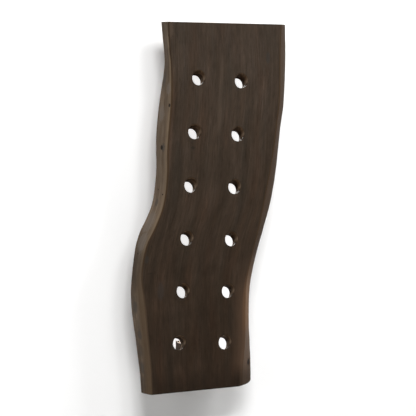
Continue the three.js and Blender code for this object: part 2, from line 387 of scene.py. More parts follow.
def cut_out(piece, tools, operation="DIFFERENCE"):
    """Takes the shape of the tools out of a piece, or joins it on, and merges points that meet."""
    tool = new_piece("tool", tools)
    cut = piece.modifiers.new("cut", "BOOLEAN")
    cut.operation = operation
    cut.solver = "EXACT"
    cut.object = tool
    bpy.context.view_layer.update()
    result = bpy.data.meshes.new_from_object(
        piece.evaluated_get(bpy.context.evaluated_depsgraph_get()))
    piece.modifiers.clear()
    plain = piece.data
    piece.data = result
    name = plain.name
    bpy.data.meshes.remove(plain)
    result.name = name
    bpy.data.objects.remove(tool)
    closed = bmesh.new()
    closed.from_mesh(result)
    bmesh.ops.remove_doubles(closed, verts=closed.verts, dist=meeting_points)
    bmesh.ops.dissolve_degenerate(closed, edges=closed.edges, dist=meeting_points)
    closed.to_mesh(result)
    closed.free()


def smooth(piece, angle=35, flat_enough=0.9999):
    """Smooth shading, with sharp lines where faces meet at more than the angle. Faces that lie
    flat enough along the wall stay flat, and 2 leaves none flat."""
    for face in piece.data.polygons:
        face.use_smooth = abs(face.normal.y) < flat_enough
    piece.data.set_sharp_from_angle(angle=radians(angle))


def settle(piece, body, slot, *nodes):
    """The piece rides on a body and stands for its nodes. slot, a finish slot, is not used."""
    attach(piece, body)
    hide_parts(*nodes)


along_x = (0, radians(90), 0)
cleat_dark = (0.19, 0.115, 0.062, 1)
cleat_light = (0.36, 0.245, 0.145, 1)
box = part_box("wall_cleat")
cleat_wood = block_wood("cleat_wood", box, along_x, cleat_dark, cleat_light, 0.0034, 0.5)
shape = eased_block(box, (Vector((0, box[0].y, box[1].z)), Vector((0, 1, 1))))
wall_cleat = new_piece("oiled_wall_cleat", shape, cleat_wood)
holes = bmesh.new()
for side in (-1, 1):
    turned(holes, [
        (0, box[0].y - overshoot),
        (wall_mouth_radius, box[0].y - overshoot),
        (wall_mouth_radius, box[0].y),
        (wall_hole_radius, box[0].y + wall_mouth_radius - wall_hole_radius),
        (wall_hole_radius, box[1].y + overshoot),
        (0, box[1].y + overshoot),
    ], side * (box[1].x - wall_hole_inset), 0, hole_sides)
cut_out(wall_cleat, holes)
smooth(wall_cleat)
settle(wall_cleat, "wall_cleat", "batten_wood", "wall_cleat")


# Board. One flat-sawn hardwood slab with both natural edges kept: the bark is off, the edges are
# brushed and oiled, the faces are planed and stained dark. Twelve bores slope down to the wall.
section_pitch = 2.6 * mm
corner_height = 12 * mm
edge_depths = (0, 0.015, 0.04, 0.08, 0.14, 0.22, 0.32, 0.44, 0.57, 0.7, 0.82, 0.91, 0.97, 1)
face_insets = (0, 1.5, 3.5, 6, 9, 13, 18, 26)
middle_columns = 24
edge_roundness = 1.6
hollow_depth = 0.9 * mm
sanded_arris = 1.1 * mm
sharp_turn = radians(28)
face_skin = 2 * mm
bore_drop = radians(24)
bore_radius = 16.5 * mm
bore_rim = 0.5 * mm
bore_sides = 64
shank_radius = 2.25 * mm
head_radius = 4.5 * mm
head_rim = 0.6 * mm
tip_length = 7 * mm
screw_gap = 0.3 * mm

slab_low, slab_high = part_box("live_edge_board")
front, back = slab_low.y, slab_high.y
thickness = back - front
board_height = slab_high.z - slab_low.z

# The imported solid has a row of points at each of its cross-sections, on both natural edges.
rows = {}
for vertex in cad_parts["live_edge_board"].data.vertices:
    rows.setdefault(round(vertex.co.z, 5), []).append(vertex.co)
sections = []
for level, points in sorted(rows.items()):
    if len({round(point.y, 4) for point in points}) > 3:
        sections.append([level] + [
            pick(point.x for point in points if abs(point.y - depth) < meeting_points)
            for depth in (front, back) for pick in (min, max)])
sections = np.array(sections)


def arrises(z):
    """Left and right arris of the front face, then of the back face, at a height."""
    return [np.interp(z, sections[:, 0], sections[:, column]) for column in (1, 2, 3, 4)]


def cut_between(shape, axis, cuts):
    """Cuts every edge that lies along an axis of the unit cube."""
    across = [edge for edge in shape.edges
              if abs(edge.verts[0].co[axis] - edge.verts[1].co[axis]) > 1e-4]
    bmesh.ops.subdivide_edges(shape, edges=across, cuts=cuts, use_grid_fill=True)


# A unit cube is cut along its length, depth and width, and each point then goes to its place.
heights = np.linspace(slab_high.z, slab_low.z, round(board_height / section_pitch) + 1)
corner_start = slab_low.z + corner_height
heights = np.unique(np.concatenate([heights[heights > corner_start], sections[
    sections[:, 0] <= corner_start, 0]]))[::-1]
face_steps = len(face_insets) * 2 + middle_columns
slab = bmesh.new()
bmesh.ops.create_cube(slab, size=1)
cut_between(slab, 2, len(heights) - 2)
cut_between(slab, 1, len(edge_depths) - 2)
cut_between(slab, 0, face_steps - 2)


def weathering(z, share, side):
    """How far rain channels, growth swells and brushing draw a natural edge in."""
    swell = noise.noise(Vector((side * 7.0, z * 16, share * 0.8)))
    channel = noise.noise(Vector((side * 3.0, z * 45, share * 3.4)))
    grit = noise.noise(Vector((side * 5.0, z * 130, share * 13)))
    return hollow_depth * max(0.0, 0.5 + 0.55 * swell + 0.4 * channel + 0.16 * grit)


for point in slab.verts:
    step = round((0.5 - point.co.z) * (len(heights) - 1))
    share = edge_depths[round((point.co.y + 0.5) * (len(edge_depths) - 1))]
    column = round((point.co.x + 0.5) * (face_steps - 1))
    z = heights[step]
    left_front, right_front, left_back, right_back = arrises(z)
    reach = 1 - (1 - share) ** edge_roundness
    left = left_front + (left_back - left_front) * reach + weathering(z, share, -1)
    right = right_front + (right_back - right_front) * reach - weathering(z, share, 1)
    inner = face_insets[-1] * mm
    if column < len(face_insets):
        x = left + face_insets[column] * mm
    elif column >= face_steps - len(face_insets):
        x = right - face_insets[face_steps - 1 - column] * mm
    else:
        part = (column - len(face_insets) + 1) / (middle_columns + 1)
        x = left + inner + (right - left - 2 * inner) * part
    point.co = (x, front + thickness * share, z)
bmesh.ops.recalc_face_normals(slab, faces=slab.faces)
sharp = [edge for edge in slab.edges if len(edge.link_faces) == 2
         and edge.calc_face_angle() > sharp_turn]
bmesh.ops.bevel(slab, geom=sharp, affect="EDGES", offset=sanded_arris, segments=3, profile=0.5,
                material=-1, clamp_overlap=True)

slab_finish, end_finish, bore_finish = range(3)
stained_slab, slab_tree, slab_shader = new_material("stained_slab", Specular_IOR_Level=0.10)
end_grain, end_tree, end_shader = new_material(
    "slab_end_grain", Specular_IOR_Level=0.3, Roughness=0.7)
bored_wood, bore_tree, bore_shader = new_material(
    "bored_wood", Specular_IOR_Level=0.1, Roughness=0.6)
board = new_piece("stained_live_edge_board", slab, stained_slab, end_grain, bored_wood)

# Where the bores are, as the work is laid out on the front face.
row_count = 6
row_pitch = 130 * mm
top_margin = 134.7 * mm
column_gaps = (112 * mm, 122 * mm)
grid_lean = radians(3.5)
bore_places = []
for row in range(row_count):
    half_gap = (column_gaps[0] + (column_gaps[1] - column_gaps[0]) * row / (row_count - 1)) / 2
    for side in (-1, 1):
        bore_places.append((
            -row * row_pitch * sin(grid_lean) + side * half_gap * cos(grid_lean),
            slab_high.z - top_margin - row * row_pitch * cos(grid_lean)
            - side * half_gap * sin(grid_lean)))


def bore_middle(x, z, depth):
    """The middle of a bore at a depth, from its place on the front face."""
    return Vector((x, depth, z - (depth - front) * tan(bore_drop)))


# A bore's tool is a stack of ellipses along its slope, which flares at both rims. The flare's
# pairs are a depth in from the face in millimetres and a share of the rim.
flare = ((-4.0, 1.0), (0.0, 1.0), (0.12, 0.62), (0.32, 0.28), (0.8, 0.0))
bore_steps = [(front + offset * mm, bore_rim * grow) for offset, grow in flare]
bore_steps += [(back - offset * mm, bore_rim * grow) for offset, grow in reversed(flare)]
tools = bmesh.new()
for x, z in bore_places:
    rings = []
    for step, (depth, grow) in enumerate(bore_steps):
        size = Matrix.Diagonal((bore_radius + grow, bore_radius / cos(bore_drop) + grow, 1, 1))
        ring = bmesh.ops.create_circle(
            tools, cap_ends=step in (0, len(bore_steps) - 1), segments=bore_sides, radius=1,
            matrix=Matrix.Translation(bore_middle(x, z, depth)) @ upright @ size)
        rings.append(list({edge for point in ring["verts"] for edge in point.link_edges}))
    for first, second in zip(rings, rings[1:]):
        bmesh.ops.bridge_loops(tools, edges=first + second)


def screw_holes(shape, *sets):
    """Adds the holes of whole sets of wood screws. Each is a screw's shape with a gap round it."""
    for name in sorted(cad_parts):
        if not name.startswith(sets):
            continue
        low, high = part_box(name)
        middle = (low + high) / 2
        hole = shank_radius + screw_gap
        mouth = head_radius + screw_gap
        cone_foot = high.y - head_rim - (mouth - hole)
        turned(shape, [
            (0, low.y - screw_gap),
            (hole, low.y - screw_gap + tip_length),
            (hole, cone_foot - screw_gap),
            (mouth, high.y - head_rim - screw_gap),
            (mouth, overshoot),
            (0, overshoot),
        ], middle.x, middle.z, hole_sides)


screw_holes(tools, "batten_screw", "spacer_screw")
bmesh.ops.recalc_face_normals(tools, faces=tools.faces)
cut_out(board, tools)

# Each face takes the finish of its own surface: stained slab, end grain or bored wood.
for face in board.data.polygons:
    centre = face.center
    slope_z = centre.z + (centre.y - front) * tan(bore_drop)
    in_bore = any(sqrt((centre.x - x) ** 2 + ((slope_z - z) * cos(bore_drop)) ** 2)
                  < bore_radius + 0.5 * bore_rim for x, z in bore_places)
    from_end = min(slab_high.z - centre.z, centre.z - slab_low.z)
    if in_bore and front < centre.y < back:
        face.material_index = bore_finish
    elif abs(face.normal.z) > 0.8 and from_end < face_skin:
        face.material_index = end_finish
    else:
        face.material_index = slab_finish
smooth(board)

# What the finish follows: grain is the place with the slab's bend taken out, so that fibres run
# along its Z. across is how far round the natural edge a point is from the front arris, below
# zero on the front face and far past the edge on the back. side goes from the left edge to the
# right one. from_bore is the way out from the nearest bore's middle, in shares of its radius.
bend_share = 0.8
past_edge = 200 * mm
top_middle = sum(arrises(slab_high.z)) / 4
points = np.array([point.co for point in board.data.vertices])
left_front, right_front, left_back, right_back = arrises(points[:, 2])
bend = (left_front + right_front + left_back + right_back) / 4 - top_middle
from_front = points[:, 1] - front
from_side = np.minimum(points[:, 0] - left_front, right_front - points[:, 0])
from_back_arris = np.minimum(points[:, 0] - left_back, right_back - points[:, 0])
on_back = (back - points[:, 1] < 0.1 * face_skin) & (from_back_arris > 0)
across = np.where(from_side < 0, np.hypot(from_front, from_side),
                  np.where(from_front < face_skin, from_front - from_side, -from_side))
across[on_back] = past_edge
down_slope = points[:, 2] + from_front * tan(bore_drop)
ways = np.array([
    (points[:, 0] - x, np.zeros(len(points)), (down_slope - z) * cos(bore_drop))
    for x, z in bore_places]) / bore_radius
nearest = np.linalg.norm(ways, axis=1).argmin(axis=0)
follows = {
    "from_bore": ways[nearest, :, np.arange(len(points))],
    "grain": points - np.outer(bend_share * bend, (1, 0, 0)),
    "across": across,
    "side": (points[:, 0] - left_front) / (right_front - left_front),
}
for name, values in follows.items():
    made = board.data.attributes.new(name, "FLOAT_VECTOR" if values.ndim == 2 else "FLOAT", "POINT")
    made.data.foreach_set("vector" if values.ndim == 2 else "value", values.ravel())

settle(board, "rack", "board_wood", "live_edge_board")

# The bores look onto bright wall, as in the photograph: the wall has a lit spot behind each one.
spot_radius = 19 * mm
spot_fade = 3 * mm
spot_glow = 0.8
spot_spill = 0.12


def carried(tree, name, output="Fac"):
    """A value that the mesh carries at its points."""
    return node(tree, "ShaderNodeAttribute", attribute_name=name).outputs[output]


spots = bmesh.new()
for x, z in bore_places:
    seen = []
    for depth in (front, back):
        ray = bore_middle(x, z, depth) - camera_place
        seen.append(camera_place + ray * (-camera_place.y / ray.y))
    bmesh.ops.create_circle(
        spots, cap_ends=True, segments=32, radius=spot_radius,
        matrix=Matrix.Translation((seen[0] + seen[1]) / 2) @ upright)
spot_faces = spots.faces[:]
bmesh.ops.inset_individual(spots, faces=spot_faces, thickness=spot_fade)
lit = spots.verts.layers.float.new("lit")
for face in spot_faces:
    for point in face.verts:
        point[lit] = 1.0
spot_paint, tree, shader = new_material("lit_wall", Roughness=0.9, Base_Color=wall_paint,
                                        Emission_Color=(1, 1, 1, 1))
glow = carried(tree, "lit")
seen_directly = node(tree, "ShaderNodeLightPath").outputs["Is Camera Ray"]
seen_directly = both(tree, seen_directly, spot_glow)
glow = both(tree, glow, maths(tree, "MAXIMUM", seen_directly, spot_spill))
tree.links.new(glow, shader.inputs["Emission Strength"])
show_one_side(tree, shader)
new_piece("lit_wall_spots", spots, spot_paint)


def tint(tree, share, colour, factor):
    """A colour taken part of the way to itself times a factor."""
    return mix_colour(tree, share, colour, mix_colour(tree, 1.0, colour, factor, "MULTIPLY"))


# Stained faces and pale natural edges, blended at the sanded arris.
face_dark = (0.0325, 0.0224, 0.0150, 1)
face_light = (0.0428, 0.0298, 0.0205, 1)
streak_pale = (0.062, 0.043, 0.030, 1)
stain_grey = (0.026, 0.025, 0.023, 1)
foot_pink = (0.088, 0.056, 0.038, 1)
edge_dark = (0.062, 0.0435, 0.0295, 1)
edge_light = (0.107, 0.0815, 0.0590, 1)
painted_highlight_cream = (0.132, 0.093, 0.058, 1)
rubbed_pale = (0.122, 0.103, 0.087, 1)
arris_brown = (0.038, 0.0215, 0.0100, 1)
rim_orange = (0.105, 0.062, 0.040, 1)
golden = (0.080, 0.053, 0.031, 1)
bark_grey = (0.046, 0.041, 0.036, 1)
right_brown = (0.043, 0.0268, 0.0170, 1)
right_peach = (0.112, 0.060, 0.032, 1)
right_foot = (0.080, 0.050, 0.033, 1)
knot_black = (0.010, 0.008, 0.006, 1)
slab_pith = (0.02, back + 0.05, 0)
slab_rings = 4.5 * mm
slab_wander = 30 * mm
tree = slab_tree
fibre_way = carried(tree, "grain", "Vector")
round_edge = carried(tree, "across")
from_left = carried(tree, "side")
place = place_on(tree)
axes = parts_of(tree, place)
up = axes["Z"]
on_right = ramp(tree, from_left, 0.49, 0.51)
on_left = maths(tree, "SUBTRACT", 1.0, on_right)
low_part = ramp(tree, up, -0.46, -0.60)


def along_board(tree, table):
    """A value that follows a table of heights and values, from the foot up."""
    share = node(tree, "ShaderNodeMapRange", {
        "Value": up, "From Min": slab_low.z, "From Max": slab_high.z}).outputs[0]
    made = node(tree, "ShaderNodeValToRGB", {"Fac": share})
    made.color_ramp.interpolation = "EASE"
    stops = made.color_ramp.elements
    stops.remove(stops[1])
    for number, (z, value) in enumerate(table):
        where = (z - slab_low.z) / board_height
        stop = stops.new(where) if number else stops[0]
        stop.position = where
        stop.color = (value, value, value, 1)
    return made.outputs["Color"]


# The stained face: broad calm bands, warm and cool patches, soft clouds, finer flecks and one
# pale streak.
slab_grain = wood_grain(tree, fibre_way, slab_pith, slab_rings, slab_wander)
face_tone = mix_colour(tree, slab_grain["Streaks"], face_dark, face_light)
warm = speckle(tree, fibre_way, (34.0, 34.0, 5.0), 3.0)
clouds = speckle(tree, fibre_way, (28.0, 28.0, 11.0), 4.0, 0.62)
flecks = speckle(tree, fibre_way, (260.0, 260.0, 24.0), 4.0, 0.65)
for share, factor in [
    (ramp(tree, warm, 0.5, 0.72), (1.10, 1.0, 0.95, 1)),
    (ramp(tree, warm, 0.5, 0.3), (0.88, 0.93, 0.96, 1)),
    (ramp(tree, clouds, 0.5, 0.68), (1.18, 1.19, 1.24, 1)),
    (ramp(tree, clouds, 0.5, 0.32), (0.84, 0.83, 0.80, 1)),
    (ramp(tree, flecks, 0.5, 0.72), (1.28, 1.24, 1.20, 1)),
    (ramp(tree, flecks, 0.5, 0.3), (0.76, 0.74, 0.72, 1)),
    (both(tree, slab_grain["Rings"], 0.35), (0.72, 0.70, 0.68, 1)),
    (slab_grain["Fibres"], (0.86, 0.85, 0.84, 1)),
    (both(tree, slab_grain["Pores"], 0.7), (0.4, 0.4, 0.4, 1)),
]:
    face_tone = tint(tree, share, face_tone, factor)
streak_off = maths(tree, "SUBTRACT", axes["X"], both(tree, up, 0.034))
streak_off = maths(tree, "ABSOLUTE", maths(tree, "SUBTRACT", streak_off, 0.0042))
pale_streak = both(tree, ramp(tree, streak_off, 0.009, 0.001), both(
    tree, ramp(tree, up, 0.03, 0.0), ramp(tree, up, -0.20, -0.15)))
face_tone = mix_colour(tree, both(tree, pale_streak, 0.35), face_tone, streak_pale)
by_arris = both(tree, both(tree, ramp(tree, round_edge, -0.015, -0.006), on_left),
                both(tree, ramp(tree, up, -0.33, -0.20), ramp(tree, up, 0.0, -0.08)))
face_tone = tint(tree, by_arris, face_tone, (1.24, 1.18, 1.16, 1))
foot_fade = both(tree, ramp(tree, up, -0.46, -0.66), ramp(tree, up, -0.845, -0.750))
foot_fade = both(tree, both(tree, foot_fade, on_right), both(
    tree, ramp(tree, round_edge, -0.045, 0.002), ramp(tree, round_edge, 0.12, 0.08)))
face_tone = mix_colour(tree, both(tree, foot_fade, 0.9), face_tone, foot_pink)
# Darker towards the foot: partly the stain, partly painted shade where the light falls off down the
# board. The last few centimetres are darker again.
face_tone = tint(tree, ramp(tree, up, -0.05, -0.80), face_tone, (0.755, 0.69, 0.62, 1))
face_tone = tint(tree, ramp(tree, up, -0.75, -0.81), face_tone, (0.74, 0.72, 0.70, 1))

# The natural edges: long flowing bands, fine threads, a painted highlight in cream where the bevel
# behind the left arris catches the light, golden wood at the foot on the left, brown and then peach
# on the right, a thin orange rim at the back.
flow = node(tree, "ShaderNodeCombineXYZ", {"X": round_edge, "Y": from_left, "Z": up}).outputs[0]
bands = ramp(tree, speckle(tree, flow, (210.0, 9.0, 7.0), 4.0, 0.62), 0.28, 0.72)
edge_tone = mix_colour(tree, bands, edge_dark, edge_light)
edge_shade = along_board(tree, [
    (-0.81, 0.85), (-0.756, 1.08), (-0.683, 1.08), (-0.586, 1.12), (-0.513, 0.7), (-0.475, 0.76),
    (-0.44, 1.02), (-0.367, 1.4), (-0.27, 1.16), (-0.173, 1.22), (-0.10, 1.15), (-0.027, 0.9),
    (0.006, 1.0), (0.043, 1.15), (0.073, 0.9)])
edge_tone = mix_colour(tree, on_left, edge_tone, mix_colour(
    tree, 1.0, edge_tone, edge_shade, "MULTIPLY"))
mottle = speckle(tree, flow, (90.0, 9.0, 34.0), 4.0, 0.6)
edge_tone = tint(tree, ramp(tree, mottle, 0.52, 0.72), edge_tone, (1.22, 1.20, 1.20, 1))
outer = ramp(tree, round_edge, 0.010, 0.022)
greyed = both(tree, both(tree, low_part, outer), ramp(tree, mottle, 0.62, 0.40))
inner_gold = both(tree, low_part, ramp(tree, round_edge, 0.024, 0.010))
edge_tone = mix_colour(tree, both(tree, inner_gold, 0.8), edge_tone, golden)
edge_tone = mix_colour(tree, both(tree, greyed, 0.35), edge_tone, bark_grey)
right_tone = mix_colour(tree, low_part, right_brown, right_peach)
right_tone = mix_colour(tree, ramp(tree, up, -0.64, -0.70), right_tone, right_foot)
right_rim = both(tree, ramp(tree, round_edge, -0.003, 0.005), both(
    tree, ramp(tree, up, -0.46, -0.56), ramp(tree, up, -0.81, -0.70)))
right_tone = tint(tree, right_rim, right_tone, (1.4, 1.6, 1.85, 1))
right_tone = tint(tree, bands, right_tone, (1.25, 1.22, 1.2, 1))
edge_tone = mix_colour(tree, both(tree, on_right, 0.9), edge_tone, right_tone)
threads = ramp(tree, speckle(tree, flow, (1300.0, 9.0, 22.0), 3.0, 0.6), 0.3, 0.7)
edge_tone = tint(tree, threads, edge_tone, (0.80, 0.77, 0.74, 1))
# Painted highlight: a cream band where the bevel behind the left arris faces the light.
lit_band = both(tree, ramp(tree, round_edge, 0.0008, 0.002), ramp(tree, round_edge, 0.011, 0.004))
lit_band = both(tree, both(tree, lit_band, on_left), ramp(tree, mottle, 0.30, 0.55, 0.6, 1.0))
lit_band = both(tree, lit_band, along_board(tree, [
    (-0.683, 0.0), (-0.586, 0.12), (-0.513, 0.2), (-0.44, 0.5), (-0.367, 0.8), (-0.27, 0.6),
    (-0.173, 0.8), (-0.10, 0.5), (-0.06, 0.9), (0.006, 0.9), (0.043, 0.6), (0.073, 0.1)]))
edge_tone = mix_colour(tree, lit_band, edge_tone, painted_highlight_cream)
back_rim = ramp(tree, axes["Y"], back - 3.5 * mm, back - 1 * mm)
edge_tone = mix_colour(tree, both(tree, back_rim, 0.8), edge_tone, rim_orange)
ragged_rim = maths(tree, "SUBTRACT", speckle(tree, place, (320.0, 320.0, 320.0), 3.0), 0.5)


def marks(tree, axis, where, table):
    """The share of soft-edged marks, each at a place along the axis and a height, with its half
    width and half height."""
    seen_flat = node(tree, "ShaderNodeCombineXYZ", {"X": axes[axis], "Y": up}).outputs[0]
    covered = 0.0
    for along, z, half_width, half_height in table:
        away = vector_maths(tree, "SUBTRACT", seen_flat, (along, z, 0))
        away = vector_maths(tree, "MULTIPLY", away, (1 / half_width, 1 / half_height, 0))
        reach = maths(tree, "ADD", vector_maths(tree, "LENGTH", away), ragged_rim)
        covered = maths(tree, "MAXIMUM", ramp(tree, reach, 1.25, 0.7), covered)
    return both(tree, covered, where)


# Knots, pin holes, traces of bark and pale rubbed patches, as they lie on the two edges. Their
# places are a depth and a height.
grey_marks = marks(tree, "Y", on_left, [
    (-0.0817, -0.212, 0.0035, 0.010), (-0.0690, -0.050, 0.005, 0.018),
    (-0.0740, -0.345, 0.004, 0.010), (-0.0616, -0.485, 0.0035, 0.013),
    (-0.0616, -0.530, 0.004, 0.011), (-0.0718, -0.600, 0.0055, 0.016),
    (-0.0755, -0.668, 0.0045, 0.013), (-0.0718, -0.752, 0.005, 0.015)])
edge_tone = mix_colour(tree, both(tree, grey_marks, 0.65), edge_tone, bark_grey)
pale_marks = marks(tree, "Y", on_left, [
    (-0.0840, -0.071, 0.005, 0.014), (-0.0740, -0.392, 0.009, 0.026),
    (-0.0770, -0.440, 0.009, 0.024), (-0.0720, -0.130, 0.007, 0.020)])
edge_tone = mix_colour(tree, both(tree, pale_marks, 0.5), edge_tone, rubbed_pale)
left_knots = marks(tree, "Y", on_left, [
    (-0.0876, -0.111, 0.0018, 0.0045), (-0.0777, -0.212, 0.0026, 0.0062),
    (-0.0724, -0.314, 0.0013, 0.0020), (-0.0845, -0.325, 0.0012, 0.0019),
    (-0.0609, -0.487, 0.0016, 0.0060), (-0.0740, -0.468, 0.0010, 0.0017)])
right_knot = marks(tree, "Y", on_right, [(-0.0764, -0.7595, 0.0042, 0.0085)])
knots = maths(tree, "MAXIMUM", left_knots, right_knot)
edge_tone = mix_colour(tree, both(tree, knots, 0.9), edge_tone, knot_black)

# Small marks in the stain of the face. Their places are across and up.
face_only = ramp(tree, axes["Y"], front + 4 * mm, front + 2 * mm)
dark_marks = marks(tree, "X", face_only, [
    (-0.1745, -0.4498, 0.0022, 0.0030), (-0.1780, -0.5156, 0.0060, 0.0018),
    (-0.0693, -0.2127, 0.0050, 0.0040)])
face_tone = mix_colour(tree, both(tree, dark_marks, 0.5), face_tone, knot_black)
cool_marks = marks(tree, "X", face_only, [
    (-0.1858, -0.4810, 0.0050, 0.0100), (0.1269, 0.0056, 0.0050, 0.0150),
    (-0.1500, -0.5600, 0.0080, 0.0220)])
face_tone = mix_colour(tree, both(tree, cool_marks, 0.4), face_tone, stain_grey)
light_mark = marks(tree, "X", face_only, [(-0.1320, 0.0700, 0.0110, 0.0220)])
face_tone = mix_colour(tree, both(tree, light_mark, 0.6), face_tone, streak_pale)

# How far the front arris is rubbed through its stain: further on the right, and more at the foot.
worn_width = maths(tree, "ADD", both(tree, on_right, 6 * mm), 3 * mm)
worn_width = both(tree, worn_width, ramp(tree, up, -0.42, -0.64))
worn_width = maths(tree, "ADD", worn_width, 1.2 * mm)
natural = maths(tree, "DIVIDE", maths(tree, "ADD", round_edge, worn_width),
                maths(tree, "ADD", worn_width, 0.8 * mm), clamp=True)
natural = both(tree, natural, ramp(tree, round_edge, 0.12, 0.08))
slab_tone = mix_colour(tree, natural, face_tone, edge_tone)
arris = both(tree, ramp(tree, round_edge, -0.0045, -0.0012), ramp(tree, round_edge, 0.0022, 0.0008))
arris = both(tree, arris, ramp(tree, up, -0.64, -0.42, 0.2, 0.9))
slab_tone = mix_colour(tree, arris, slab_tone, arris_brown)
slab_tone = tint(tree, both(tree, both(tree, arris, on_left), ramp(tree, up, -0.06, 0.01)),
                 slab_tone, (0.6, 0.58, 0.55, 1))
right_corner = both(tree, ramp(tree, from_left, 0.80, 0.97), ramp(tree, up, -0.745, -0.80))
slab_tone = tint(tree, right_corner, slab_tone, (0.60, 0.62, 0.63, 1))
tree.links.new(slab_tone, slab_shader.inputs["Base Color"])
dull = maths(tree, "ADD", ramp(tree, natural, 0.0, 1.0, 0.46, 0.70),
             both(tree, slab_grain["Fibres"], 0.12))
tree.links.new(dull, slab_shader.inputs["Roughness"])
face_relief = maths(tree, "SUBTRACT", both(tree, slab_grain["Fibres"], 0.4), slab_grain["Pores"])
face_relief = both(tree, face_relief, 0.12 * mm)
edge_relief = maths(tree, "ADD", both(tree, bands, 0.5 * mm), both(tree, threads, 0.2 * mm))
edge_relief = maths(tree, "SUBTRACT", edge_relief, both(tree, knots, 1.2 * mm))
relief = node(tree, "ShaderNodeMix", {0: natural, 2: face_relief, 3: edge_relief},
              data_type="FLOAT").outputs[0]
bumpy(tree, slab_shader, relief, 0.8, 1.0)

# End grain on the two sawn cuts, and the bored walls. A bore's sides are paler than its top and
# bottom: partly long grain beside end grain that drinks the oil, partly painted light on the side
# walls. Its bottom wall darkens towards the front in painted shade.
end_dark = (0.020, 0.014, 0.009, 1)
end_light = (0.050, 0.036, 0.024, 1)
tree = end_tree
grain = wood_grain(tree, carried(tree, "grain", "Vector"), slab_pith, slab_rings, slab_wander)
tone = mix_colour(tree, grain["Rings"], end_light, end_dark)
tone = tint(tree, grain["Pores"], tone, (0.5, 0.5, 0.5, 1))
tree.links.new(tone, end_shader.inputs["Base Color"])
bumpy(tree, end_shader, grain["Rings"], 0.3, grain_relief)

bored_dark = (0.038, 0.022, 0.011, 1)
bored_light = (0.110, 0.068, 0.038, 1)
bored_wander = 12 * mm
tree = bore_tree
grain = wood_grain(tree, carried(tree, "grain", "Vector"), (0, 0, 0), slab_rings, bored_wander)
tone = mix_colour(tree, grain["Streaks"], bored_dark, bored_light)
tone = tint(tree, grain["Fibres"], tone, (0.7, 0.7, 0.7, 1))
round_bore = parts_of(tree, carried(tree, "from_bore", "Vector"))
sideways = maths(tree, "ABSOLUTE", round_bore["X"])
tone = tint(tree, 1.0, tone, (1.3, 1.25, 1.25, 1))
# Paler side walls: partly long grain, partly painted light.
pale_and_lit_sides = both(tree, ramp(tree, sideways, 0.66, 1.0), both(
    tree, ramp(tree, round_bore["Z"], 0.62, -0.05), ramp(tree, round_bore["Z"], -0.65, 0.0)))
tone = tint(tree, pale_and_lit_sides, tone, (2.2, 2.65, 3.3, 1))
inwards = parts_of(tree, place_on(tree))["Y"]
# Painted shade on the bottom wall near the front.
painted_lip_shade = both(tree, ramp(tree, inwards, back - 7 * mm, front + 8 * mm),
                 ramp(tree, round_bore["Z"], 0.0, -0.55))
tone = tint(tree, painted_lip_shade, tone, (0.30, 0.28, 0.26, 1))
tree.links.new(tone, bore_shader.inputs["Base Color"])


# Hanging batten. A planed strip of the same oiled hardwood as the cleat, glued and screwed across
# the board's back. It holds the rack cleat off the board.
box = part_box("hanging_batten")
batten_wood = block_wood("batten_wood", box, along_x, cleat_dark, cleat_light, 0.0042, 0.52)
batten = new_piece("oiled_hanging_batten", eased_block(box), batten_wood)


def drill(piece, *sets):
    """Makes the holes of whole sets of screws in a block, and shades it."""
    holes = bmesh.new()
    screw_holes(holes, *sets)
    cut_out(piece, holes)
    smooth(piece)


drill(batten, "batten_screw", "cleat_screw")
settle(batten, "rack", "batten_wood", "hanging_batten")


# Rack cleat. The upper half of the bevelled strip, sawn to the same 45 degrees as the wall cleat
# that it hooks over, and screwed to the batten.
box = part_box("rack_cleat")
rack_cleat_wood = block_wood("rack_cleat_wood", box, along_x, cleat_dark, cleat_light, 0.0034, 0.5)
shape = eased_block(box, (Vector((0, box[1].y, box[0].z)), Vector((0, -1, -1))))
rack_cleat = new_piece("oiled_rack_cleat", shape, rack_cleat_wood)
drill(rack_cleat, "cleat_screw")
settle(rack_cleat, "rack", "batten_wood", "rack_cleat")


# Lower spacer. A short block of the slab's own wood, screwed to the board's back behind the bottom
# row. It keeps the foot of the board as far off the wall as the top.
spacer_dark = (0.165, 0.108, 0.073, 1)
spacer_light = (0.315, 0.225, 0.160, 1)
spacer_turn = (0, radians(90), radians(12))
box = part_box("lower_spacer")
spacer_wood = block_wood("spacer_wood", box, spacer_turn, spacer_dark, spacer_light, 0.0038, 0.55)
spacer = new_piece("sawn_lower_spacer", eased_block(box), spacer_wood)
drill(spacer, "spacer_screw")
settle(spacer, "rack", "spacer_wood", "lower_spacer")


# Wood screws. Nine of one kind: bright plated steel, countersunk head with a cross recess, plain
# shank, and a rolled thread that thins out at both ends.
screw_length = 50 * mm
screw_sides = 28
plain_radius = 2.0 * mm
core_radius = 1.5 * mm
thread_root = core_radius - 0.2 * mm
thread_start = 20 * mm
thread_pitch = 1.9 * mm
thread_foot = 1.2 * mm
thread_turns = 15
run_out = 1.6 * mm
recess_span = 5 * mm
recess_width = 1.2 * mm
recess_depth = 2 * mm
rim_ease = 0.12 * mm

shape = bmesh.new()
cone_foot = head_rim + head_radius - plain_radius
turned(shape, [
    (0, -screw_length),
    (core_radius, -screw_length + tip_length),
    (core_radius, -thread_start - run_out),
    (plain_radius, -thread_start),
    (plain_radius, -cone_foot),
    (head_radius - rim_ease, -head_rim - rim_ease),
    (head_radius, -head_rim),
    (head_radius, -rim_ease),
    (head_radius - rim_ease, 0),
    (0, 0),
], 0, 0, screw_sides)
screw = new_piece("screw_pattern", shape)
for turn in (0, radians(90)):
    slot_tool = bmesh.new()
    bmesh.ops.create_cube(slot_tool, size=1)
    bmesh.ops.scale(slot_tool, vec=(recess_span, 2 * recess_depth, recess_width),
                    verts=slot_tool.verts)
    bmesh.ops.rotate(slot_tool, matrix=Matrix.Rotation(turn, 3, "Y"), verts=slot_tool.verts)
    cut_out(screw, slot_tool)

